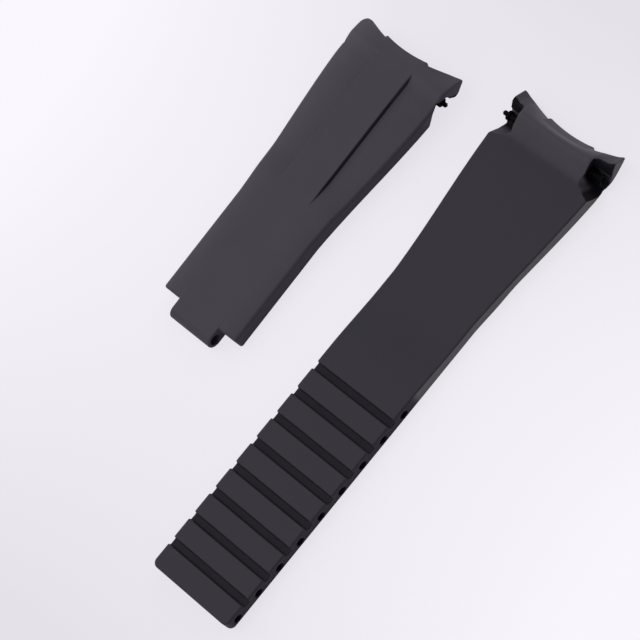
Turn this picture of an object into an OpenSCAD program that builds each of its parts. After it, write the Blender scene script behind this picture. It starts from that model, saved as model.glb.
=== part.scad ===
// Two-piece curved-end silicone watch strap: a short half with a bored tongue and a long
// half cut to length at its ribs, each with a moulded-in end core, a steel tube and a
// spring bar. The short half lies outer face up, the long half inner face up beside it.
// Each half is drawn in its own frame: x from the clasp end to the case end, y across,
// z = 0 on the outer face and inner face below it. Distances called back run from the ear tips.

/* [Widths] */
// Width at the case end, for 20 mm lugs
case_w = 20; // [19:0.1:21]
// Width at the clasp end
clasp_w = 16; // [14:0.1:17]
// Distance back from the ear tips at which the flare starts
flare_start = 34; // [28:0.5:36]
// Distance back from the ear tips at which the flare is complete
flare_end = 8; // [7:0.1:8.3]

/* [Thickness] */
// Thickness beside the case end
case_thick = 3.3; // [3.2:0.1:4]
// Thickness of the short half at its clasp end
short_thick = 3; // [2.8:0.1:3.4]
// Thickness of the ribbed stretch of the long half
rib_thick = 3; // [2.8:0.1:3.4]
// Thickness of the plain stretch of the long half
plain_thick = 2.5; // [2.2:0.1:2.8]
// Rounding of the outer edges
outer_r = 0.5; // [0.3:0.05:0.6]
// Rounding of the inner edges
inner_r = 0.3; // [0.2:0.05:0.4]
// Fall of the outer face at its edges
crown = 0.25; // [0:0.05:0.4]
// Half width of the flat middle of the outer face
flat_half = 5; // [4:0.1:6]

/* [Long half] */
// Length from the tail to the ear tips
long_len = 90; // [85:0.5:100]
// Rounding of the tail corners in plan
tail_r = 1; // [0.5:0.1:2]
// Number of cut-to-length grooves
groove_count = 8; // [5:1:8]
// Pitch of the grooves and cross bores
rib_pitch = 4.77; // [4.5:0.01:5]
// Distance from the tail to the first cross bore
first_bore = 2.05; // [1.8:0.05:2.4]
// Distance from a cross bore to the groove after it
bore_to_groove = 2.45; // [2.2:0.05:2.7]
// Width of a groove at the inner face
groove_w = 1.2; // [0.8:0.05:1.4]
// Depth of a groove
groove_depth = 0.8; // [0.5:0.05:1]
// Diameter of the cross bores for the clasp pin
cross_bore_d = 1.5; // [1.2:0.05:1.6]

/* [Short half] */
// Length from the clasp end to the ear tips, without the tongue
short_len = 52.5; // [49:0.5:60]
// Rounding of the clasp end corners in plan
clasp_r = 0.4; // [0.2:0.1:0.8]
// Width of the tongue that enters the clasp
tongue_w = 8.7; // [7:0.1:10]
// Length of the tongue
tongue_len = 3.05; // [2.6:0.05:4]
// Diameter of the bore through the tongue
tongue_bore_d = 1.9; // [1.5:0.1:2]

/* [Raised middle band] */
// Half width of the band that stands up from the outer face near the case
band_half = 3.6; // [3:0.1:3.8]
// Step from the band down to the wings beside it
step_depth = 0.5; // [0.3:0.05:0.6]
// Distance back from the ear tips at which the step starts
step_near = 4.5; // [4:0.1:5]
// Distance back from the ear tips at which the step runs out
step_far = 30; // [24:0.5:32]
// Length over which the step comes up at its case end
step_rise = 3; // [2:0.1:4]
// Length over which the step fades out towards the clasp
step_fade = 6; // [4:0.1:10]

/* [Case end] */
// Fall of the outer face at the ear tips
droop = 1.5; // [1.4:0.05:1.9]
// Distance back from the ear tips at which that fall starts
droop_len = 10; // [8:0.5:11]
// Hollow of the case end seen from above
sagitta = 2.1; // [1.6:0.1:2.6]
// Length of the end that is bent to that hollow
hollow_run = 5; // [5:0.1:5.4]
// Width of the raised middle of the case end
tab_w = 9; // [8:0.1:10]
// Forward step of that middle
tab_out = 0.4; // [0.2:0.05:0.6]
// Length over which that step fades
tab_run = 1.2; // [1:0.1:1.6]
// Height of the lip at the outer edge of the case end
lip_h = 0.6; // [0.4:0.05:0.9]
// Rounding of the ears in plan
ear_r = 0.5; // [0.4:0.1:0.9]
// Depth of the ears below the outer face
ear_thick = 2.8; // [2.6:0.1:3.2]
// Width of a side pocket, from the case end's flank to the middle block
pocket_w = 2.8; // [2.5:0.1:3.2]
// Depth of the block below the outer face
block_thick = 5.5; // [5.2:0.1:6]
// Distance back from the ear tips at which the block starts to rise
block_start = 7.8; // [7.7:0.1:9]
// Distance back from the ear tips to the crest of the block
crest_back = 2.4; // [2:0.1:2.8]
// Length of a side pocket
pocket_len = 5.8; // [5:0.1:5.8]
// Distance back from the ear tips to the middle of a side pocket
pocket_back = 5.6; // [5.5:0.1:5.8]
// Rounding of the two upper corners of a side pocket
pocket_r = 2; // [1.5:0.1:2.4]
// Skin left over a side pocket
pocket_skin = 0.35; // [0.3:0.05:0.4]

/* [Spring bar] */
// Distance back from the ear tips to the bar's axis
bar_back = 4.9; // [4.8:0.1:5.2]
// Depth of the bar's axis below the outer face
bar_depth = 2.4; // [2.4:0.05:2.5]
// Diameter of the barrel
barrel_d = 1.8; // [1.6:0.05:1.9]
// Stretch of each side pocket that the barrel leaves free
barrel_short = 2.4; // [2.2:0.1:2.6]
// Wall of the barrel
barrel_wall = 0.2; // [0.18:0.01:0.2]
// Length of each rolled-in barrel end
barrel_lip = 0.4; // [0.3:0.05:0.5]
// Running clearance of the barrel in its tube, on the radius
barrel_fit = 0.05; // [0.03:0.01:0.08]
// Clearance of a plunger in the barrel, on the radius
plunger_fit = 0.04; // [0.03:0.01:0.06]
// Length of a plunger's head inside the barrel
head_len = 1.6; // [1.2:0.1:2]
// Diameter of a plunger's neck
neck_d = 1.12; // [1.1:0.02:1.16]
// Diameter of the tip that enters the lug
tip_d = 0.78; // [0.7:0.02:0.78]
// How far each tip stands out beyond the case end when free
tip_out = 0.5; // [0.4:0.05:0.8]
// Length of each tip beyond its shoulder
tip_len = 1; // [0.8:0.05:1.2]
// Diameter of the shoulder that a fork tool pulls on
shoulder_d = 1.6; // [1.3:0.05:1.7]
// Thickness of the shoulder
shoulder_t = 0.45; // [0.3:0.05:0.6]
// Diameter of the spring wire
wire_d = 0.2; // [0.16:0.01:0.22]
// Turns of the spring
spring_turns = 18; // [12:1:22]

/* [End core and tube] */
// Wall of the steel tube
tube_wall = 0.22; // [0.2:0.01:0.25]
// Silicone left over each end of the steel tube
tube_cover = 0.7; // [0.4:0.1:1]
// Cover of the core around the tube
core_wall = 0.3; // [0.3:0.01:0.34]
// Silicone left beside each flank of the core
core_cover = 1; // [0.8:0.1:1.6]
// Length of the core's flange from the tube towards the strap
flange_len = 7.5; // [6:0.1:8]
// Thickness of the flange
flange_t = 0.8; // [0.6:0.05:1]
// Diameter of the keying holes in the flange
key_d = 2; // [1.5:0.1:2.2]
// Gap between moulded or pressed faces
mould_gap = 0.01; // [0.005:0.005:0.02]

/* [Arrangement] */
// Distance between the middle lines of the two halves
pair_gap = 28.8; // [24:0.1:40]
// Distance from the tail of the long half to the clasp end of the short half
pair_shift = 33.1; // [20:0.1:40]

/* [Hidden] */
$fn = 48;

bore_count = groove_count + 1;
first_groove = first_bore + bore_to_groove;
// The thick ribbed stretch ends a little after the last cross bore
rib_over = 1.6;
rib_end = first_bore + groove_count * rib_pitch + rib_over;
rib_fade = 3.6;
// Everything across the case end follows its width
block_w = case_w - 2 * pocket_w;
core_w = block_w - 2 * core_cover;
tube_len = block_w - 2 * tube_cover;
barrel_len = case_w - 2 * barrel_short;
bar_len = case_w + 2 * tip_out;

tube_r = barrel_d / 2 + barrel_fit + tube_wall;
core_r = tube_r + core_wall;
plunger_r = barrel_d / 2 - barrel_wall - plunger_fit;
shoulder_y = bar_len / 2 - tip_len;
head_y = barrel_len / 2 - barrel_lip - 0.02;
lip_depth = droop + lip_h;
// The crest bends back at its middle with the hollow case end
crest_x = short_len - crest_back - sagitta * ease((hollow_run - crest_back) / hollow_run);
// The short half rests on the nose of its tongue and on the crest of its block
nose_r = short_thick / 2;
nose_x = nose_r - tongue_len;
rest_run = crest_x - nose_x;
rest_rise = block_thick - nose_r;
short_tilt = atan(rest_rise / rest_run) - asin(nose_r / norm([rest_run, rest_rise]));
short_lift = block_thick * cos(short_tilt) - crest_x * sin(short_tilt);
long_mid = long_len / 2;
// Last station of the flare, clear of the stations of the block
flare_last = 8.4;

// Stations as fractions of a stretch, so that curves get short steps and straights long ones
corner_steps = [0, 0.08, 0.3, 0.62, 1];
flare_steps = [for (i = [1 : 10]) i / 10];
end_steps = [7.6, 7, 6.4, 5.8, 5.2, 4.5, 3.8, 3.1, 2.4, 1.9, 1.4, 1, 0.66, 0.36, 0.14, 0];
// Columns across the strap: fixed ones over the middle block, the rest spread beside it
block_edge = block_w / 2 - 0.4;
step_w = 0.04;
mid_columns = [0, band_half / 2, band_half, band_half + step_w, tab_w / 2, tab_w / 2 + 0.12,
    (tab_w / 2 + block_edge) / 2 + 0.1, block_edge];
side_columns = [0.25, 0.5, 0.75, 1];
column_count = 2 * (len(mid_columns) + len(side_columns)) - 1;

function clamp01(v) = max(0, min(1, v));
function ease(v) = let (s = clamp01(v)) s * s * (3 - 2 * s);
function mix(a, b, s) = a + (b - a) * s;
// Inset of a rounded corner of radius r at distance d from its end
function corner(r, d) = d < r ? r - sqrt(r * r - (r - d) * (r - d)) : 0;
function reversed(list) = [for (i = [len(list) - 1 : -1 : 0]) list[i]];

// Columns of the right half of a station whose flat faces reach out to y = reach
function columns(reach) = let (s = min(1, reach / (block_edge + 0.6)))
    concat([for (c = mid_columns) c * s],
        [for (c = side_columns) mix(block_edge * s, reach, c)]);

// How far the flare has run at distance e back from the ear tips, nearly straight in the middle
function flare(e) = let (s = clamp01((flare_start - e) / (flare_start - flare_end))) (s + ease(s)) / 2;

// Half width at distance e back from the ear tips, x from the clasp end
function half_width(e, x, r) =
    mix(clasp_w, case_w, flare(e)) / 2 - corner(ear_r, e) - corner(r, x);

// Height of the outer face along the strap
function outer_line(e) = -droop * pow(clamp01((droop_len - e) / droop_len), 2);
function outer_face(e, y, w) =
    outer_line(e) - crown * pow(clamp01((abs(y) - flat_half) / (w - flat_half)), 2)
    - (abs(y) > band_half + step_w / 2 ? step(e) : 0);
// Step between the raised band and the wings
function step(e) = step_depth * ease((step_far - e) / step_fade) * ease((e - step_near) / step_rise);

// Inner face of the middle block, of the ears, and of the whole end
function block_line(e, t) =
    e > crest_back ? -mix(t, block_thick, ease((block_start - e) / (block_start - crest_back)))
    : -mix(lip_depth, block_thick, sqrt(1 - pow((crest_back - e) / crest_back, 2)));
function ear_line(e, t) =
    e > crest_back ? -mix(t, ear_thick, ease((block_start - e) / (block_start - crest_back)))
    : -mix(lip_depth, ear_thick, sqrt(1 - pow((crest_back - e) / crest_back, 2)));
function inner_face(e, y, t) =
    mix(block_line(e, t), ear_line(e, t), ease((abs(y) - block_edge) / 2.6));

// Shift along the strap that bends the last stations to the hollow case end
function end_shift(e, y, w) =
    -sagitta * (1 - pow(y / w, 2)) * ease((hollow_run - e) / hollow_run)
    + (abs(y) <= tab_w / 2 + 0.01 ? tab_out * ease((tab_run - e) / tab_run) : 0);

// One closed ring of points around the strap, outer face first, then down the right flank
function ring(e, half_len, t, r) =
    let (x = half_len - e, w = half_width(e, x, r), out = outer_face(e, w - outer_r, w),
        inn = inner_face(e, w - outer_r, t), shift = end_shift(e, w, w),
        right = columns(w - outer_r),
        ys = concat([for (y = reversed(right)) if (y > 0) -y], right),
        flank = [[w - 0.3 * outer_r, out - 0.3 * outer_r], [w, out - outer_r],
            [w, inn + inner_r], [w - 0.3 * inner_r, inn + 0.3 * inner_r]])
    concat(
        [for (y = ys) [x + end_shift(e, y, w), y, outer_face(e, y, w)]],
        [for (p = flank) [x + shift, p[0], p[1]]],
        [for (y = reversed(ys)) [x + end_shift(e, y, w), y, inner_face(e, y, t)]],
        [for (p = reversed(flank)) [x + shift, -p[0], p[1]]]);

// Skin over rings of equal length; the ends are closed by strips from outer to inner face
module skin(rings, columns, side) {
    n = len(rings[0]);
    last = (len(rings) - 1) * n;
    cap = concat(
        [for (j = [0 : columns - 2]) let (a = j, b = j + 1, c = 2 * columns + side - 2 - j)
            each [[a, b, c], [a, c, c + 1]]],
        [for (j = [0 : side - 1]) [columns - 1, columns + j, columns + j + 1]],
        [for (j = [0 : side - 1]) [0, 2 * columns + side - 1 + j, 2 * columns + side + j]]);
    walls = [for (k = [0 : len(rings) - 2]) for (i = [0 : n - 1])
        let (a = k * n + i, b = k * n + (i + 1) % n) each [[a, b, b + n], [a, b + n, a + n]]];
    polyhedron(points = [for (r = rings) each r],
        faces = concat([for (f = cap) reversed(f)], walls, [for (f = cap) [for (i = f) i + last]]));
}

// Tapered body of one half, from its clasp end to its ears
module band(half_len, stations, thick, r) {
    rings = [for (i = [0 : len(stations) - 1]) ring(stations[i], half_len, thick[i], r)];
    skin(rings, column_count, 4);
}

// Distances back from the ear tips of the flare and end stations, in falling order
function case_stations() = concat(
    [for (s = flare_steps) mix(flare_start, flare_last, s)], end_steps);
function case_thickness(e, start) =
    mix(start, case_thick, flare(e));

// Pocket beside the block, round in its upper corners, that lets a fork tool reach the bar
module pocket(half_len, side) {
    reach = pocket_len / 2;
    inner = reach - pocket_r;
    top = outer_line(pocket_back) - step_depth - pocket_skin;
    y0 = side > 0 ? block_w / 2 : -block_w / 2 - case_w;
    translate([half_len - pocket_back, y0, top - pocket_r]) {
        for (x = [-inner, inner]) translate([x, 0, 0]) rotate([-90, 0, 0]) cylinder(r = pocket_r, h = case_w);
        translate([-inner, 0, -1]) cube([2 * inner, case_w, pocket_r + 1]);
        translate([-reach, 0, -case_w]) cube([2 * reach, case_w, case_w]);
    }
}

// Moves its children onto the axis of the spring bar of one half
module at_bar(half_len) translate([half_len - bar_back, 0, -bar_depth]) children();
module across(r, half_w) rotate([90, 0, 0]) cylinder(r = r, h = 2 * half_w, center = true);

// Stiff core around the tube, with a flange keyed into the silicone
module core_body(half_len, grow) at_bar(half_len) {
    across(core_r + grow, core_w / 2 + grow);
    difference() {
        translate([-flange_len - grow, -core_w / 2 - grow, -flange_t / 2 - grow])
            cube([flange_len + grow, core_w + 2 * grow, flange_t + 2 * grow]);
        for (y = [-1, 0, 1]) translate([-flange_len + key_d * 0.9, y * core_w / 3.2, 0])
            cylinder(r = key_d / 2 - grow, h = 2 * flange_t, center = true);
    }
}

module end_core(half_len) difference() {
    core_body(half_len, 0);
    at_bar(half_len) across(tube_r + mould_gap, core_w);
}

module end_tube(half_len) at_bar(half_len) difference() {
    across(tube_r, tube_len / 2);
    across(tube_r - tube_wall, tube_len);
}

// Everything that is cut out of both silicone halves alike
module case_end_cuts(half_len) {
    for (side = [-1, 1]) pocket(half_len, side);
    core_body(half_len, mould_gap);
    at_bar(half_len) across(tube_r + mould_gap, block_w / 2 + 0.2);
}

// Thin-walled barrel with both ends rolled in over the plungers
module bar_barrel(half_len) at_bar(half_len) rotate([90, 0, 0]) difference() {
    cylinder(d = barrel_d, h = barrel_len, center = true);
    cylinder(r = barrel_d / 2 - barrel_wall, h = barrel_len - 2 * barrel_lip, center = true);
    cylinder(d = neck_d + 2 * plunger_fit, h = barrel_len + 1, center = true);
}

// Plunger with its head in the barrel, a neck, a shoulder and a tip for the lug hole
module bar_tip(half_len, side) at_bar(half_len) rotate([-90 * side, 0, 0]) {
    translate([0, 0, head_y - head_len]) cylinder(r = plunger_r, h = head_len);
    translate([0, 0, head_y - 0.1]) cylinder(d = neck_d, h = shoulder_y - head_y + 0.1 - shoulder_t / 2);
    translate([0, 0, shoulder_y - 0.1]) cylinder(d = tip_d, h = tip_len + 0.1 - tip_d / 4);
    translate([0, 0, shoulder_y - shoulder_t]) cylinder(d = shoulder_d, h = shoulder_t);
    translate([0, 0, bar_len / 2 - tip_d / 4]) cylinder(d1 = tip_d, d2 = tip_d / 2, h = tip_d / 4);
}

// Helical spring between the two plunger heads
module bar_spring(half_len) at_bar(half_len) {
    reach = head_y - head_len - wire_d / 2 - 0.03;
    coil_r = plunger_r - wire_d / 2;
    sides = 6;
    steps = spring_turns * 8;
    rings = [for (k = [0 : steps]) let (a = 360 * k / 8, y = mix(-reach, reach, k / steps))
        [for (s = [0 : sides - 1]) let (b = 360 * s / sides, r = coil_r + wire_d / 2 * cos(b))
            [r * cos(a), y + wire_d / 2 * sin(b), r * sin(a)]]];
    last = steps * sides;
    polyhedron(points = [for (r = rings) each r],
        faces = concat([[for (i = [sides - 1 : -1 : 0]) i]], [[for (i = [0 : sides - 1]) last + i]],
            [for (k = [0 : steps - 1]) for (i = [0 : sides - 1])
                let (a = k * sides + i, b = k * sides + (i + 1) % sides)
                each [[a, b, b + sides], [a, b + sides, a + sides]]]));
}

// Where each half lies: the short one outer face up, the long one turned over
module place_short() translate([pair_shift - long_mid, pair_gap / 2, short_lift])
    rotate([0, -short_tilt, 0]) children();
module place_long() translate([-long_mid, -pair_gap / 2, 0]) rotate([180, 0, 0]) children();

module short_silicone() {
    stations = concat([for (s = corner_steps) short_len - s * clasp_r], [flare_start], case_stations());
    difference() {
        union() {
            band(short_len, stations, [for (e = stations) case_thickness(e, short_thick)], clasp_r);
            tongue();
        }
        translate([nose_x, 0, -nose_r]) across(tongue_bore_d / 2, tongue_w);
        case_end_cuts(short_len);
    }
}

// Tongue whose rounded nose is concentric with its bore
module tongue() translate([nose_x, 0, -nose_r]) {
    across(nose_r, tongue_w / 2);
    translate([0, -tongue_w / 2, -nose_r]) cube([1 - nose_x, tongue_w, short_thick]);
}

function long_thickness(x) = mix(rib_thick, plain_thick, ease((x - rib_end) / rib_fade));

module long_silicone() {
    fade = [for (s = [0, 0.15, 0.35, 0.65, 0.85, 1]) long_len - rib_end - s * rib_fade];
    stations = concat([for (s = corner_steps) long_len - s * tail_r], fade, [flare_start], case_stations());
    thick = [for (e = stations) e > flare_start ? long_thickness(long_len - e)
        : case_thickness(e, plain_thick)];
    difference() {
        band(long_len, stations, thick, tail_r);
        for (i = [0 : bore_count - 1]) translate([first_bore + i * rib_pitch, 0, -rib_thick / 2])
            across(cross_bore_d / 2, clasp_w);
        for (i = [0 : groove_count - 1]) translate([first_groove + i * rib_pitch, 0, -rib_thick])
            rib_groove();
        case_end_cuts(long_len);
    }
}

// Groove with drafted sides across the inner face, which marks where to cut
module rib_groove() {
    floor_w = groove_w - 0.3;
    rotate([90, 0, 0]) linear_extrude(height = 2 * clasp_w, center = true)
        polygon([[-groove_w / 2 - 0.2, -0.5], [-groove_w / 2, 0], [-floor_w / 2, groove_depth],
            [floor_w / 2, groove_depth], [groove_w / 2, 0], [groove_w / 2 + 0.2, -0.5]]);
}

module short_half() color("#3d3b42") place_short() short_silicone();
module long_half() color("#38363d") place_long() long_silicone();
module short_end_core() color("#2a2a2c") place_short() end_core(short_len);
module long_end_core() color("#2a2a2c") place_long() end_core(long_len);
module short_end_tube() color("#b9bbbe") place_short() end_tube(short_len);
module long_end_tube() color("#b9bbbe") place_long() end_tube(long_len);
module short_bar_barrel() color("#8d9094") place_short() bar_barrel(short_len);
module long_bar_barrel() color("#8d9094") place_long() bar_barrel(long_len);
module short_bar_spring() color("#a3a6aa") place_short() bar_spring(short_len);
module long_bar_spring() color("#a3a6aa") place_long() bar_spring(long_len);
module short_bar_tip_left() color("#9a9da1") place_short() bar_tip(short_len, 1);
module short_bar_tip_right() color("#9a9da1") place_short() bar_tip(short_len, -1);
module long_bar_tip_left() color("#9a9da1") place_long() bar_tip(long_len, -1);
module long_bar_tip_right() color("#9a9da1") place_long() bar_tip(long_len, 1);

short_half();
long_half();
short_end_core();
long_end_core();
short_end_tube();
long_end_tube();
short_bar_barrel();
long_bar_barrel();
short_bar_spring();
long_bar_spring();
short_bar_tip_left();
short_bar_tip_right();
long_bar_tip_left();
long_bar_tip_right();
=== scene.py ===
import math

import bpy
import numpy as np
from mathutils import Matrix, Vector


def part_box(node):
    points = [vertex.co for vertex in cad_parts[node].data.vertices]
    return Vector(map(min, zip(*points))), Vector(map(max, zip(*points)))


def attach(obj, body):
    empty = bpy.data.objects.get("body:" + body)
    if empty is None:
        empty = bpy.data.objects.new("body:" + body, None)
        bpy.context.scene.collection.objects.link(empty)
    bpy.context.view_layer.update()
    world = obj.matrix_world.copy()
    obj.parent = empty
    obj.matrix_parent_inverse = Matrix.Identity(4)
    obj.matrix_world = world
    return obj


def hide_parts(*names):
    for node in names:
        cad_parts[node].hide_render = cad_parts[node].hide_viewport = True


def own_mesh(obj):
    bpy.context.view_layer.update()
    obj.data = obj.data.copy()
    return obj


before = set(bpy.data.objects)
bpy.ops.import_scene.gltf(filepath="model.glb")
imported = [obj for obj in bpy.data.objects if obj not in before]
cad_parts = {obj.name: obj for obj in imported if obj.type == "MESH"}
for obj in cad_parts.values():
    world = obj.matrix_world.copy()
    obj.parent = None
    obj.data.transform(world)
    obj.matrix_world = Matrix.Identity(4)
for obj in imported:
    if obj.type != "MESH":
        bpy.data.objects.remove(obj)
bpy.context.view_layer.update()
scene = bpy.context.scene
print("frame loaded:", len(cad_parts), "nodes")

# Lengths of the rubber are in millimetres until its mesh is made. Each half is shaped in its own frame:
# x from the clasp end to the case end, y across, outer face at z = 0 and inner face below it


def ease(v):
    s = np.clip(v, 0.0, 1.0)
    return s * s * (3.0 - 2.0 * s)


def mix(a, b, s):
    return a + (b - a) * s


def roundMax(a, b, r):
    # what lies inside both shapes, with an edge rounded to r where they meet
    return np.minimum(np.maximum(a, b), -r) + np.hypot(np.maximum(a + r, 0.0), np.maximum(b + r, 0.0))


def roundMin(a, b, r):
    return -roundMax(-a, -b, r)


rubberForm = {
    # widths, edges and thicknesses of the plain strap
    "claspWidth": 16.0, "caseWidth": 20.0, "flareStart": 34.0, "flareEnd": 8.0,
    "outerEdge": 0.5, "innerEdge": 0.3, "endEdge": 0.3, "endEdgeRun": 2.5, "crown": 0.25, "flatHalf": 5.0,
    "caseThick": 3.3, "shortThick": 3.0, "ribThick": 3.0, "plainThick": 2.5, "thinStart": 1.6, "thinRun": 11.0,
    # case end: its fall, its hollow, the lip and the small tab in the middle
    "droop": 0.45, "droopRun": 10.0, "hollow": 2.1, "hollowRun": 5.0, "lip": 0.6, "lipRound": 0.25,
    "tabHalf": 4.3, "tabOut": 0.4, "tabRun": 1.2, "tabSoft": 0.16, "endSlope": 0.5,
    # block under the middle
    "blockHalf": 7.2, "blockThick": 5.5, "blockStart": 7.8, "crestBack": 2.4, "crestRound": 3.2,
    # ears beside it
    "earLead": 0.5, "earRun": 2.4, "earThick": 3.4, "earRound": 0.55, "earSlope": 1.5, "earLip": 0.12,
    "earFall": 1.9, "earFallRun": 5.5, "earFallStart": 3.0, "earFallMost": 1.1,
    "wornEar": 2.2, "wornEarFall": 0.9,
    # raised middle band and the crease along its foot
    "bandHalf": 3.6, "step": 0.5, "stepNear": 3.8, "stepFar": 30.0, "stepRise": 2.4, "stepFade": 6.0,
    "bandTopRound": 0.1, "topShare": 0.3, "bandFootRound": 0.06, "footShare": 0.2,
    "footHalf": 0.1, "footDepth": 0.5, "footRound": 0.08, "footEdge": 0.04, "footLeast": 0.02,
}

pocketForm = {
    "roof": 0.85, "roofRound": 0.7, "cornerRound": 0.3, "mouthRound": 0.13, "innerRound": 0.6,
    # walls towards the strap and towards the case: place at the roof, lean, and slope's share of the distance
    "strapWall": 5.7, "strapLean": 0.98, "strapSlant": 0.43, "strapMiddle": 7.9, "strapScale": 1.4,
    "caseWall": 5.0, "caseLean": 0.92, "earSlant": 0.1, "caseScale": 1.35,
    # the block's side wall: wider towards the case, narrower towards the strap
    "wide": 1.2, "wideFrom": 3.6, "wideRun": 1.8, "narrow": 0.6, "narrowFrom": 5.9, "narrowRun": 1.5,
    "deepFrom": 2.4, "deepRun": 2.0,
}

ribForm = {"count": 8, "pitch": 4.77, "firstBore": 2.05, "boreToGroove": 2.45, "width": 1.4, "depth": 0.8,
           "draft": 0.15, "edge": 0.12, "floor": 0.12, "boreRadius": 0.75, "boreEdge": 0.05}

tongueForm = {"width": 8.7, "length": 3.05, "boreRadius": 0.95, "boreEdge": 0.06, "edge": 0.18, "root": 2.0,
              "rootRound": 0.1, "join": 0.12}

barSeat = {"back": 4.9, "depth": 2.4, "tubeRadius": 1.18, "tubeEdge": 0.05, "coreRadius": 1.48,
           "coreHalf": 6.21, "flangeRun": 7.51, "flangeHalf": 0.41}

halves = {
    "short": {"length": 52.5, "claspRound": 0.4, "node": "short_half", "name": "shortRubber"},
    "long": {"length": 90.0, "claspRound": 1.0, "node": "long_half", "name": "longRubber"},
}


def ribsStop(past):
    # a place on the long half, so far past its last bore
    return ribForm["firstBore"] + ribForm["count"] * ribForm["pitch"] + past


def backFromEars(x, y, length):
    # undoes the hollow of the case end: distance back from the ear tips along the bent lines
    f = rubberForm
    across = 1.0 - (y / (f["caseWidth"] / 2)) ** 2
    tab = ease((f["tabHalf"] + f["tabSoft"] - np.abs(y)) / (2 * f["tabSoft"]))
    back = length - x
    for step in range(14):
        bent = -f["hollow"] * across * ease((f["hollowRun"] - back) / f["hollowRun"])
        bent = bent + tab * f["tabOut"] * ease((f["tabRun"] - back) / f["tabRun"])
        back = length - x + bent
    return back


def pocketField(back, side, depth, fall):
    # arch beside the block, open to the flank and to the inner face, below zero inside the opening
    p = pocketForm
    below = depth - p["roof"] - fall
    strapWall = back - p["strapWall"] - p["strapLean"] * below - p["strapSlant"] * (side - p["strapMiddle"])
    strapWall = strapWall / p["strapScale"]
    slant = p["earSlant"] * (rubberForm["caseWidth"] / 2 - side)
    caseWall = (p["caseWall"] - p["caseLean"] * below + slant - back) / p["caseScale"]
    arch = roundMax(roundMax(strapWall, caseWall, p["cornerRound"]), -below, p["roofRound"])
    deep = ease((depth - p["deepFrom"]) / p["deepRun"])
    half = rubberForm["blockHalf"] + p["wide"] * ease((p["wideFrom"] - back) / p["wideRun"])
    half = half - p["narrow"] * ease((back - p["narrowFrom"]) / p["narrowRun"]) * deep
    return roundMax(arch, half - side, p["innerRound"])


def outerFace(half, back, y, z, width):
    # below zero under the outer face, and how far the face and the ears fall there
    f = rubberForm
    side = np.abs(y)
    fall = f["droop"] * np.clip((f["droopRun"] - back) / f["droopRun"], 0, 1) ** 2
    worn = (y > 0) & (half == "short")
    hang = np.where(worn, f["wornEarFall"], f["earFall"])
    hang = hang * np.clip((side - f["earFallStart"]) / (f["caseWidth"] / 2 - f["earFallStart"]), 0,
                          f["earFallMost"]) ** 2
    hanging = hang * np.clip((f["earFallRun"] - back) / f["earFallRun"], 0, 1) ** 2
    fall = fall + hanging
    outer = -fall - f["crown"] * np.clip((side - f["flatHalf"]) / (width - f["flatHalf"]), 0, 1) ** 2
    # the middle band stands up from the wings beside it
    step = f["step"] * ease((f["stepFar"] - back) / f["stepFade"]) * ease((back - f["stepNear"]) / f["stepRise"])
    raised = roundMax(z - outer, side - f["bandHalf"], np.minimum(f["bandTopRound"], f["topShare"] * step))
    top = roundMin(raised, z - outer + step, np.minimum(f["bandFootRound"], f["footShare"] * step))
    # narrow crease along the foot of that step, but not on the side of the worn ear
    share = step / f["step"] * np.where(worn, 0.0, 1.0)
    foot = np.abs(side - f["bandHalf"] - f["footHalf"]) - f["footHalf"] * share
    foot = roundMax(foot, outer - step - f["footDepth"] * share - z, f["footRound"])
    top = np.where(share > f["footLeast"], roundMax(top, -foot, f["footEdge"]), top)
    return top, fall, hang, hanging, worn


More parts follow.
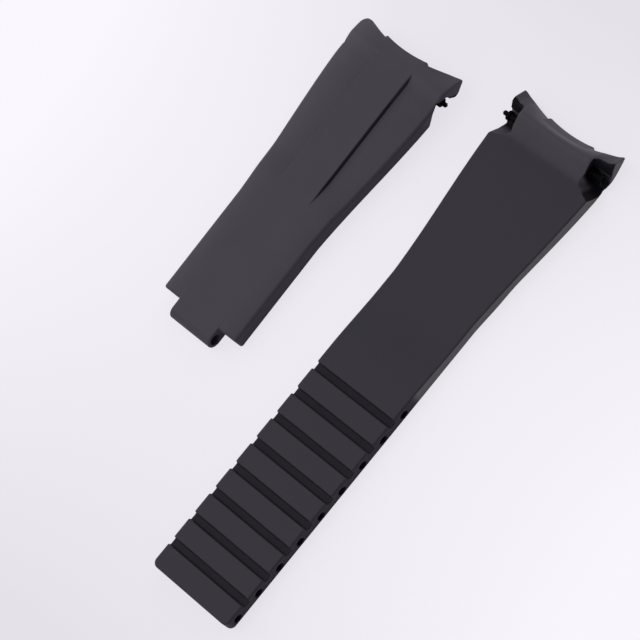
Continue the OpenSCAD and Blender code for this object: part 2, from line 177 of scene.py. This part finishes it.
def rubberField(half, x, y, z):
    # below zero inside the rubber, in millimetres near its skin
    f = rubberForm
    length = halves[half]["length"]
    back = backFromEars(x, y, length)
    side = np.abs(y)
    run = np.clip((f["flareStart"] - back) / (f["flareStart"] - f["flareEnd"]), 0, 1)
    flare = (run + ease(run)) / 2
    width = mix(f["claspWidth"], f["caseWidth"], flare) / 2
    top, fall, hang, hanging, worn = outerFace(half, back, y, z, width)

    # inner face: thicker at the ribs, then the plain stretch, the block and the ears
    if half == "long":
        start = mix(f["ribThick"], f["plainThick"], ease((x - ribsStop(f["thinStart"])) / f["thinRun"]))
    else:
        start = f["shortThick"] + 0 * x
    base = mix(start, f["caseThick"], flare)
    rise = ease((f["blockStart"] - back) / (f["blockStart"] - f["crestBack"]))
    toEar = ease((side - (f["blockHalf"] - f["earLead"])) / f["earRun"])
    inner = mix(mix(base, f["blockThick"], rise), mix(base, f["earThick"], rise) + hanging, toEar)
    bottom = -inner - z

    # case end: a lip, then a face that leans back to the crest of the block and the ears
    lipDepth = f["droop"] + hang + mix(f["lip"], f["earLip"], toEar)
    slope = mix(f["endSlope"], f["earSlope"], toEar)
    lean = (-back + slope * (-z - lipDepth)) / np.sqrt(1 + slope ** 2)
    end = roundMax(-back, lean, f["lipRound"])
    crest = mix(f["crestRound"], f["earRound"], toEar)
    low = roundMax(bottom, end, crest)

    plan = roundMax(side - width, -x, halves[half]["claspRound"])
    plan = roundMax(plan, -back, np.where(worn, f["wornEar"], f["earRound"]))
    edgeOut = mix(f["outerEdge"], f["endEdge"], ease((f["endEdgeRun"] - back) / f["endEdgeRun"]))
    body = roundMax(roundMax(plan, top, edgeOut), low, f["innerEdge"])

    if half == "short":
        t = tongueForm
        nose = f["shortThick"] / 2
        noseX = nose - t["length"]
        reach = np.hypot(np.minimum(x - noseX, 0.0), z + nose) - nose
        tongue = roundMax(roundMax(reach, side - t["width"] / 2, t["edge"]), x - t["root"], t["rootRound"])
        body = roundMin(body, tongue, t["join"])
        bore = np.hypot(x - noseX, z + nose) - t["boreRadius"]
        body = roundMax(body, -bore, t["boreEdge"])
    else:
        r = ribForm
        first = r["firstBore"] + r["boreToGroove"]
        count = np.clip(np.round((x - first) / r["pitch"]), 0, r["count"] - 1)
        off = np.abs(x - first - count * r["pitch"])
        level = -f["ribThick"] + r["depth"]
        wall = off - r["width"] / 2 + r["draft"] * (z + f["ribThick"]) / r["depth"]
        groove = roundMax(wall, z - level, r["floor"])
        body = roundMax(body, -groove, r["edge"])
        count = np.clip(np.round((x - r["firstBore"]) / r["pitch"]), 0, r["count"])
        bore = np.hypot(x - r["firstBore"] - count * r["pitch"], z + f["ribThick"] / 2) - r["boreRadius"]
        body = roundMax(body, -bore, r["boreEdge"])

    pocket = pocketField(back, side, -z, fall)
    body = roundMax(body, -pocket, pocketForm["mouthRound"])

    # room for the tube and for the core that is moulded in
    s = barSeat
    fromBar = np.hypot(x - (length - s["back"]), z + s["depth"])
    body = roundMax(body, s["tubeRadius"] - fromBar, s["tubeEdge"])
    core = np.maximum(fromBar - s["coreRadius"], side - s["coreHalf"])
    flangeMid = length - s["back"] - s["flangeRun"] / 2
    flange = np.maximum(np.abs(x - flangeMid) - s["flangeRun"] / 2, np.abs(z + s["depth"]) - s["flangeHalf"])
    core = np.minimum(core, np.maximum(flange, side - s["coreHalf"]))
    return np.maximum(body, -core)


def gridLine(stretches):
    # stretches of (start, step) in rising order, closed by the last start
    marks = []
    for (start, step), (stop, after) in zip(stretches, stretches[1:]):
        count = max(1, int(round((stop - start) / step)))
        marks += [start + (stop - start) * i / count for i in range(count)]
    return np.array(marks + [stretches[-1][0]])


# where the grid changes its step, along, across and through the rubber
gridSteps = {
    "shortStart": [(-3.35, 0.14), (0.8, 0.3), (3, 0.45)],
    "longStart": [(-0.3, 0.14), (1.2, 0.15), (ribsStop(1.2), 0.3), (ribsStop(6.2), 0.45)],
    "caseEnd": [(-31, 0.32), (-9.2, 0.14), (0.35, 0)],
    "across": [(0.0, 0.45), (3.1, 0.11), (4.8, 0.28), (6.4, 0.14), (10.3, 0)],
    "through": [(-5.75, 0.14), (0.28, 0)],
}


def rubberGrid(half):
    length, g = halves[half]["length"], gridSteps
    xs = gridLine(g[half + "Start"] + [(length + place, step) for place, step in g["caseEnd"]])
    ys = gridLine(g["across"])
    return xs, np.concatenate([-ys[:0:-1], ys]), gridLine(g["through"])


def sliceAlong(axis):
    # the lower and the upper ends of all grid lines that run along one axis
    low, high = [slice(None)] * 3, [slice(None)] * 3
    low[axis], high[axis] = slice(0, -1), slice(1, None)
    return tuple(low), tuple(high)


def crossings(values, axis, axes):
    # where the skin crosses the grid lines that run along one axis
    low, high = sliceAlong(axis)
    a, b = values[low], values[high]
    crossed = (a < 0) != (b < 0)
    share = np.where(crossed, a / np.where(crossed, a - b, 1.0), 0.0)
    place = np.zeros(a.shape + (3,))
    for k, line in enumerate(axes):
        shape = [1, 1, 1]
        shape[k] = -1
        if k == axis:
            place[..., k] = line[:-1].reshape(shape) + share * np.diff(line).reshape(shape)
        else:
            place[..., k] = line.reshape(shape)
    return crossed, place * crossed[..., None]


def skinPoints(values, axes):
    # one point in each grid cell that the skin crosses: the middle of the crossings on its edges
    cells = tuple(count - 1 for count in values.shape)
    total, hits = np.zeros(cells + (3,)), np.zeros(cells)
    for axis in range(3):
        crossed, place = crossings(values, axis, axes)
        others = [k for k in range(3) if k != axis]
        for shifts in ((0, 0), (0, 1), (1, 0), (1, 1)):
            cut = [slice(None)] * 3
            for k, d in zip(others, shifts):
                cut[k] = slice(d, place.shape[k] - 1 + d)
            total += place[tuple(cut)]
            hits += crossed[tuple(cut)]
    active = hits > 0
    index = -np.ones(active.shape, np.int64)
    index[active] = np.arange(active.sum())
    return total[active] / hits[active][:, None], index


def skinFaces(inside, index):
    # a face over each grid line that the skin crosses, from the points of the four cells around that line
    faces = []
    for axis in range(3):
        u, v = [(1, 2), (2, 0), (0, 1)][axis]
        low, high = sliceAlong(axis)
        a, b = inside[low], inside[high]
        i = np.argwhere(a != b)
        i = i[(i[:, u] > 0) & (i[:, v] > 0) & (i[:, u] < inside.shape[u] - 1) & (i[:, v] < inside.shape[v] - 1)]
        corners = []
        for du, dv in ((1, 1), (0, 1), (0, 0), (1, 0)):
            c = i.copy()
            c[:, u] -= du
            c[:, v] -= dv
            corners.append(index[c[:, 0], c[:, 1], c[:, 2]])
        quad = np.stack(corners, 1)
        flip = ~a[i[:, 0], i[:, 1], i[:, 2]]
        quad[flip] = quad[flip][:, ::-1]
        faces.append(quad)
    return np.concatenate(faces)


def fieldSlope(half, p, step=0.02):
    out = np.zeros_like(p)
    for k in range(3):
        d = np.zeros(3)
        d[k] = step
        a, b = p + d, p - d
        out[:, k] = (rubberField(half, a[:, 0], a[:, 1], a[:, 2])
                     - rubberField(half, b[:, 0], b[:, 1], b[:, 2])) / (2 * step)
    return out


def rubberMesh(half):
    # points are drawn onto the skin in a few short moves
    mostMove, leastSlope, rounds, normalStep = 0.08, 0.2, 4, 0.03
    axes = rubberGrid(half)
    values = rubberField(half, axes[0][:, None, None], axes[1][None, :, None], axes[2][None, None, :])
    points, index = skinPoints(values, axes)
    faces = skinFaces(values < 0, index)
    for step in range(rounds):
        value = rubberField(half, points[:, 0], points[:, 1], points[:, 2])
        slope = fieldSlope(half, points)
        size = np.maximum((slope ** 2).sum(1), leastSlope)
        move = -(value / size)[:, None] * slope
        reach = np.linalg.norm(move, axis=1)
        move *= np.minimum(1.0, mostMove / np.maximum(reach, 1e-9))[:, None]
        points = points + move
    normals = fieldSlope(half, points, normalStep)
    normals /= np.maximum(np.linalg.norm(normals, axis=1), 1e-9)[:, None]
    return points, faces, normals


def placeHalf(half):
    # the bar's axis is the fixed point; the short half rests on its nose and its crest
    f, t, s = rubberForm, tongueForm, barSeat
    low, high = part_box(half + "_bar_barrel")
    middle = (low + high) / 2
    length = halves[half]["length"]
    if half == "long":
        turn = Matrix.Rotation(math.pi, 4, "X")
    else:
        nose = f["shortThick"] / 2
        bend = (f["hollowRun"] - f["crestBack"]) / f["hollowRun"]
        crestX = length - f["crestBack"] - f["hollow"] * bend * bend * (3 - 2 * bend)
        run, rise = crestX - (nose - t["length"]), f["blockThick"] - nose
        tilt = math.atan2(rise, run) - math.asin(nose / math.hypot(run, rise))
        turn = Matrix.Rotation(-tilt, 4, "Y")
    own = Vector((length - s["back"], 0, -s["depth"])) / 1000
    return Matrix.Translation(middle) @ turn @ Matrix.Translation(-own)


# painted light and shade of the rubber: a level per face that scales its base colour, lighter on the plain flanks,
# the block's slope and the case end, darker on the inner faces, on the long half's ribbed flank, in the grooves and
# in the pockets
paintedShadingLook = {
    "short": {"outer": 1.12, "inner": 0.75, "flank": 1.45, "ribFlank": 1.0, "end": 1.32, "slope": 1.0},
    "long": {"outer": 1.0, "inner": 0.6, "flank": 2.6, "ribFlank": 0.5, "end": 1.0, "slope": 1.2, "groove": 0.31},
    "pocket": 0.14, "faceFrom": 0.2, "faceRun": 0.5, "ribsPast": 2.0, "flankRun": 1.5,
    "slopeFrom": 8.5, "slopeRun": 3.0, "endFrom": 7.0, "endRun": 6.0,
    # painted light: the short half gets lighter towards one edge
    "edgePaintedLight": 0.3, "edgeFrom": 3.0, "edgeRun": 6.0,
    # where the painted shade of the pockets starts and ends
    "pocketSkin": 0.12, "pocketBack": 1.5, "pocketDepth": 0.6, "grooveDepth": 0.25,
    "litFrom": 6.0, "litRun": 1.2, "litSide": 8.7, "litSideRun": 0.8,
}


def rubberPaintedShading(half, p, n):
    # how light the rubber is on each face, chosen one by one: the real silicone has one even colour
    look, t = paintedShadingLook[half], paintedShadingLook
    back = halves[half]["length"] - p[:, 0]
    # painted light and shade: outer face, inner face and flank each get a level of their own, lighter towards the
    # case end and on the block's slope
    outer, inner = (ease((way * n[:, 2] - t["faceFrom"]) / t["faceRun"]) for way in (1, -1))
    flank = mix(look["ribFlank"], look["flank"], ease((p[:, 0] - ribsStop(t["ribsPast"])) / t["flankRun"]))
    low = mix(look["inner"], look["slope"], ease((t["slopeFrom"] - back) / t["slopeRun"]))
    high = mix(look["outer"], look["end"], ease((t["endFrom"] - back) / t["endRun"]))
    # the pocket's wall towards the strap is left out of the painted shade and keeps the painted level of its face
    lit = ease((back - t["litFrom"]) / t["litRun"])
    if half == "short":
        # painted light, growing towards the short half's +y edge
        high = high * (1 + t["edgePaintedLight"] * np.clip((p[:, 1] - t["edgeFrom"]) / t["edgeRun"], 0, 1) ** 2)
    else:
        # painted shade deep in the cutting grooves
        groove = (p[:, 0] < ribsStop(t["ribsPast"])) & (p[:, 2] > t["grooveDepth"] - rubberForm["ribThick"])
        low = np.where(groove, look["groove"], low)
        # painted shade: on the long half's +y side it reaches over that wall near the flank
        lit = lit * np.where(p[:, 1] > 0, ease((t["litSide"] - p[:, 1]) / t["litSideRun"]), 1.0)
    paintedLevel = outer * high + inner * low + (1 - outer - inner) * flank
    # painted shade in the pockets, mixed back to the face's level where the wall is left lit
    pocket = pocketField(back, np.abs(p[:, 1]), -p[:, 2], 0)
    inside = (pocket < t["pocketSkin"]) & (back > t["pocketBack"]) & (p[:, 2] < -t["pocketDepth"])
    return np.where(inside, mix(t["pocket"], paintedLevel, lit), paintedLevel)


def makeRubber(half):
    points, faces, normals = rubberMesh(half)
    place = placeHalf(half)
    turn = np.array(place.to_3x3())
    where = points / 1000 @ turn.T + np.array(place.translation)
    mesh = bpy.data.meshes.new(halves[half]["name"])
    mesh.from_pydata(where.tolist(), [], faces.tolist())
    mesh.validate()
    own = mesh.attributes.new("ownPlace", "FLOAT_VECTOR", "POINT")
    own.data.foreach_set("vector", (points / 1000).astype(np.float32).ravel())
    # the painted light and shade of each point, which the material scales its colour by
    paintedLevel = mesh.attributes.new("paintedShading", "FLOAT", "POINT")
    paintedLevel.data.foreach_set("value", rubberPaintedShading(half, points, normals).astype(np.float32))
    mesh.polygons.foreach_set("use_smooth", [True] * len(mesh.polygons))
    mesh.normals_split_custom_set_from_vertices((normals @ turn.T).tolist())
    piece = bpy.data.objects.new(halves[half]["name"], mesh)
    scene.collection.objects.link(piece)
    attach(piece, "straps")
    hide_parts(halves[half]["node"])
    print(half, "half:", len(points), "points,", len(faces), "faces")
    return piece


rubbers = {half: makeRubber(half) for half in halves}


def newFinish(name):
    material = bpy.data.materials.new(name)
    material.use_nodes = True
    nodes, links = material.node_tree.nodes, material.node_tree.links
    return material, nodes, links, nodes["Principled BSDF"]


def addNode(nodes, kind, **values):
    node = nodes.new(kind)
    for key, value in values.items():
        setattr(node, key, value)
    return node


def noiseOver(nodes, links, source, scale, detail):
    noise = addNode(nodes, "ShaderNodeTexNoise")
    noise.inputs["Scale"].default_value = scale
    noise.inputs["Detail"].default_value = detail
    links.new(source, noise.inputs["Vector"])
    return noise.outputs["Fac"]


def spanned(nodes, links, source, before, after):
    # brings a value from one span to another
    node = addNode(nodes, "ShaderNodeMapRange")
    for name, value in zip(("From Min", "From Max", "To Min", "To Max"), (*before, *after)):
        node.inputs[name].default_value = value
    links.new(source, node.inputs["Value"])
    return node.outputs["Result"]


def tinted(nodes, links, source, colors, stops=(0.0, 1.0)):
    ramp = addNode(nodes, "ShaderNodeValToRGB")
    for mark, place, color in zip(ramp.color_ramp.elements, stops, colors):
        mark.position = place
        mark.color = (*color, 1)
    links.new(source, ramp.inputs["Fac"])
    return ramp.outputs["Color"]


def roughened(nodes, links, source, shader, strength, height):
    bump = addNode(nodes, "ShaderNodeBump")
    bump.inputs["Strength"].default_value = strength
    bump.inputs["Distance"].default_value = height
    links.new(source, bump.inputs["Height"])
    links.new(bump.outputs["Normal"], shader.inputs["Normal"])


rubberLook = {
    "dark": (0.0275, 0.0242, 0.0335), "light": (0.0325, 0.0285, 0.0395), "cloud": 180.0, "cloudDetail": 4.0,
    "stops": (0.3, 0.7), "rough": (0.55, 0.68), "grain": 9000.0, "grainDetail": 2.0, "grainShare": 0.35,
    "grainHeight": 0.00001,
    # the lighter a face's painted light, the less purple it looks, and the hollows darkened by painted shade shine
    # less
    "purpleTone": (0.5, 2.6), "purple": (1.5, 0.1), "shineTone": (0.1, 0.5), "shine": (0.05, 0.3),
}


def rubberFinish():
    look = rubberLook
    material, nodes, links, shader = newFinish("matt black silicone")
    own = addNode(nodes, "ShaderNodeAttribute", attribute_name="ownPlace").outputs["Vector"]
    paintedLevel = addNode(nodes, "ShaderNodeAttribute", attribute_name="paintedShading").outputs["Fac"]
    cloud = noiseOver(nodes, links, own, look["cloud"], look["cloudDetail"])
    hue = addNode(nodes, "ShaderNodeHueSaturation")
    links.new(spanned(nodes, links, paintedLevel, look["purpleTone"], look["purple"]), hue.inputs["Saturation"])
    links.new(tinted(nodes, links, cloud, (look["dark"], look["light"]), look["stops"]), hue.inputs["Color"])
    # painted light and shade: the base colour is scaled by the painted level at each point
    shade = addNode(nodes, "ShaderNodeVectorMath", operation="SCALE")
    links.new(hue.outputs["Color"], shade.inputs["Vector"])
    links.new(paintedLevel, shade.inputs["Scale"])
    links.new(shade.outputs["Vector"], shader.inputs["Base Color"])
    links.new(spanned(nodes, links, cloud, (0.0, 1.0), look["rough"]), shader.inputs["Roughness"])
    links.new(spanned(nodes, links, paintedLevel, look["shineTone"], look["shine"]), shader.inputs["Specular IOR Level"])
    grain = noiseOver(nodes, links, own, look["grain"], look["grainDetail"])
    roughened(nodes, links, grain, shader, look["grainShare"], look["grainHeight"])
    return material


metalLooks = {
    "black coated bar": {"color": (0.006, 0.006, 0.0065), "rough": 0.62, "rings": 9000.0},
    "drawn tube steel": {"color": (0.5, 0.5, 0.51), "rough": 0.38, "rings": 4000.0},
    "spring wire": {"color": (0.42, 0.42, 0.43), "rough": 0.33, "rings": 6000.0},
}
# fine marks of the lathe or the die, as shares of a metal's own colour and roughness
latheMarks = {"waver": 1.5, "detail": 2.0, "darkest": 0.86, "smooth": 0.85, "coarse": 1.25, "share": 0.25,
              "height": 0.00001}


def metalFinish(name):
    look, m = metalLooks[name], latheMarks
    material, nodes, links, shader = newFinish(name)
    place = addNode(nodes, "ShaderNodeTexCoord")
    lathe = addNode(nodes, "ShaderNodeTexWave", wave_type="BANDS", bands_direction="Y")
    lathe.inputs["Scale"].default_value = look["rings"]
    lathe.inputs["Distortion"].default_value = m["waver"]
    lathe.inputs["Detail"].default_value = m["detail"]
    links.new(place.outputs["Object"], lathe.inputs["Vector"])
    rings = lathe.outputs["Fac"]
    dark = tuple(c * m["darkest"] for c in look["color"])
    links.new(tinted(nodes, links, rings, (dark, look["color"])), shader.inputs["Base Color"])
    rough = (look["rough"] * m["smooth"], look["rough"] * m["coarse"])
    links.new(spanned(nodes, links, rings, (0.0, 1.0), rough), shader.inputs["Roughness"])
    roughened(nodes, links, rings, shader, m["share"], m["height"])
    shader.inputs["Metallic"].default_value = 1.0
    return material


coreLook = {"dark": (0.02, 0.02, 0.022), "light": (0.034, 0.034, 0.036), "rough": 0.6, "cloud": 900.0, "detail": 2.0,
            "share": 0.2, "height": 0.00002}


def coreFinish():
    look = coreLook
    material, nodes, links, shader = newFinish("stiff core plastic")
    place = addNode(nodes, "ShaderNodeTexCoord").outputs["Object"]
    cloud = noiseOver(nodes, links, place, look["cloud"], look["detail"])
    links.new(tinted(nodes, links, cloud, (look["dark"], look["light"])), shader.inputs["Base Color"])
    roughened(nodes, links, cloud, shader, look["share"], look["height"])
    shader.inputs["Roughness"].default_value = look["rough"]
    return material


def dress(piece, material):
    piece.data.materials.clear()
    piece.data.materials.append(material)


silicone = rubberFinish()
for piece in rubbers.values():
    dress(piece, silicone)
barSteel, tubeSteel, wireSteel = (metalFinish(name) for name in metalLooks)
corePlastic = coreFinish()
for name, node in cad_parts.items():
    if name.endswith("_core"):
        dress(node, corePlastic)
    elif name.endswith("_tube"):
        dress(node, tubeSteel)
    elif name.endswith("_spring"):
        dress(node, wireSteel)
    elif "_bar_" in name:
        dress(node, barSteel)

springForm = {"wire": 0.0002, "turns": 9, "steps": 12, "sides": 6, "travel": 0.0012}


def makeSpring(half, side):
    # half of a bar's coil, wound from the bar's middle towards its own tip
    s = springForm
    low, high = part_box(half + "_bar_spring")
    middle = (low + high) / 2
    tipLow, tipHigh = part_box(half + "_bar_tip_" + side)
    way = 1 if tipLow[1] + tipHigh[1] > 2 * middle[1] else -1
    radius, reach = (high[2] - low[2] - s["wire"]) / 2, (high[1] - low[1] - s["wire"]) / 2
    rings, sides = s["turns"] * s["steps"], s["sides"]
    points, faces = [], []
    for i in range(rings + 1):
        turn = way * 2 * math.pi * i / s["steps"]
        for k in range(sides):
            around = 2 * math.pi * k / sides
            r = radius + s["wire"] / 2 * math.cos(around)
            along = reach * i / rings + s["wire"] / 2 * math.sin(around)
            points.append((middle[0] + r * math.cos(turn), middle[1] + way * along, middle[2] + r * math.sin(turn)))
            if i < rings:
                a, b = i * sides + k, i * sides + (k + 1) % sides
                faces.append((a, b, b + sides, a + sides))
    faces.append(tuple(range(sides - 1, -1, -1)))
    faces.append(tuple(range(rings * sides, (rings + 1) * sides)))
    mesh = bpy.data.meshes.new(half + "Spring" + side.capitalize())
    mesh.from_pydata(points, [], faces)
    mesh.polygons.foreach_set("use_smooth", [True] * len(mesh.polygons))
    piece = bpy.data.objects.new(mesh.name, mesh)
    scene.collection.objects.link(piece)
    dress(piece, wireSteel)
    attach(piece, half + "_bar")
    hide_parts(half + "_bar_spring")
    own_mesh(piece)


for half in halves:
    for side in ("left", "right"):
        makeSpring(half, side)
print("finishes given and springs wound")

# dim past both ends of the strap and bright past its sides, fading over the reach in metres
tableLook = {"half": 1.2, "below": 0.00002, "dim": (0.72, 0.698, 0.745), "bright": (0.875, 0.852, 0.915),
             "reach": 0.062, "rough": 0.9, "glow": 0.85, "glowLevel": 1.1}


def computed(nodes, links, operation, first, second=None):
    node = addNode(nodes, "ShaderNodeMath", operation=operation)
    for socket, value in zip(node.inputs, (first, second)):
        if isinstance(value, float):
            socket.default_value = value
        elif value is not None:
            links.new(value, socket)
    return node.outputs["Value"]


def makeTable():
    look = tableLook
    half = look["half"]
    mesh = bpy.data.meshes.new("table")
    mesh.from_pydata([(-half, -half, 0), (half, -half, 0), (half, half, 0), (-half, half, 0)], [], [(0, 1, 2, 3)])
    table = bpy.data.objects.new("table", mesh)
    scene.collection.objects.link(table)
    table.location = (0, 0, -look["below"])
    material, nodes, links, shader = newFinish("pale table")
    place = addNode(nodes, "ShaderNodeTexCoord")
    apart = addNode(nodes, "ShaderNodeSeparateXYZ")
    links.new(place.outputs["Object"], apart.inputs["Vector"])
    along, across = (computed(nodes, links, "MULTIPLY", apart.outputs[axis], apart.outputs[axis]) for axis in "XY")
    saddle = computed(nodes, links, "SUBTRACT", across, along)
    fade = spanned(nodes, links, saddle, (-look["reach"] ** 2, look["reach"] ** 2), (0.0, 1.0))
    tint = tinted(nodes, links, fade, (look["dim"], look["bright"]))
    links.new(tint, shader.inputs["Base Color"])
    shader.inputs["Roughness"].default_value = look["rough"]
    shader.inputs["Specular IOR Level"].default_value = 0.0
    # for the camera it glows by itself for the larger part, which leaves the strap's shadow faint
    path = addNode(nodes, "ShaderNodeLightPath")
    seen = computed(nodes, links, "MULTIPLY", path.outputs["Is Camera Ray"], look["glow"])
    glow = addNode(nodes, "ShaderNodeEmission")
    glow.inputs["Strength"].default_value = look["glowLevel"]
    links.new(tint, glow.inputs["Color"])
    both = addNode(nodes, "ShaderNodeMixShader")
    links.new(seen, both.inputs["Fac"])
    links.new(shader.outputs["BSDF"], both.inputs[1])
    links.new(glow.outputs["Emission"], both.inputs[2])
    links.new(both.outputs["Shader"], nodes["Material Output"].inputs["Surface"])
    dress(table, material)


lampSize = 0.6
lampLooks = {
    "topLamp": {"place": (-0.2, 0.3, 0.8), "power": 2.4, "color": (1.0, 0.985, 1.0)},
    "endLamp": {"place": (0.8, 0.1, 0.35), "power": 3.0, "color": (1.0, 0.99, 1.0)},
    "leftLamp": {"place": (-0.1, 0.85, 0.35), "power": 3.0, "color": (0.98, 0.97, 1.0)},
    "tailLamp": {"place": (-0.8, -0.2, 0.35), "power": 2.4, "color": (0.98, 0.97, 1.0)},
}


def makeLamp(name):
    look = lampLooks[name]
    data = bpy.data.lights.new(name, "AREA")
    data.shape = "SQUARE"
    data.size = lampSize
    data.energy = look["power"]
    data.color = look["color"]
    lamp = bpy.data.objects.new(name, data)
    scene.collection.objects.link(lamp)
    lamp.location = look["place"]
    lamp.rotation_euler = Vector(look["place"]).to_track_quat("Z", "Y").to_euler()


roomLook = {"color": (0.92, 0.92, 0.96, 1), "strength": 0.42}


def makeRoom():
    world = bpy.data.worlds.new("pale room")
    scene.world = world
    world.use_nodes = True
    light = world.node_tree.nodes["Background"]
    light.inputs["Color"].default_value = roomLook["color"]
    light.inputs["Strength"].default_value = roomLook["strength"]


cameraView = {"azimuth": 6.372, "elevation": 61.528, "roll": -45.093, "distance": 0.4234, "focalPixels": 2822.1,
              "imageWidth": 640, "sensor": 36, "clip": (0.01, 10), "aimRight": -0.00021, "aimUp": -0.00142}


def makeCamera():
    v = cameraView
    a, b, r = (math.radians(v[k]) for k in ("azimuth", "elevation", "roll"))
    forward = Vector((math.sin(a) * math.cos(b), math.cos(a) * math.cos(b), -math.sin(b)))
    level = Vector((math.cos(a), -math.sin(a), 0))
    upright = level.cross(forward)
    right = level * math.cos(r) + upright * math.sin(r)
    up = upright * math.cos(r) - level * math.sin(r)
    data = bpy.data.cameras.new("bench camera")
    data.sensor_width = v["sensor"]
    data.lens = v["focalPixels"] / v["imageWidth"] * v["sensor"]
    data.clip_start, data.clip_end = v["clip"]
    camera = bpy.data.objects.new("bench camera", data)
    scene.collection.objects.link(camera)
    aim = right * v["aimRight"] + up * v["aimUp"]
    spot = Matrix((right, up, -forward)).transposed().to_4x4()
    spot.translation = aim - forward * v["distance"]
    camera.matrix_world = spot
    scene.camera = camera


makeTable()
makeRoom()
for name in lampLooks:
    makeLamp(name)
makeCamera()
scene.view_settings.view_transform = "Standard"
print("table, lamps and camera set")
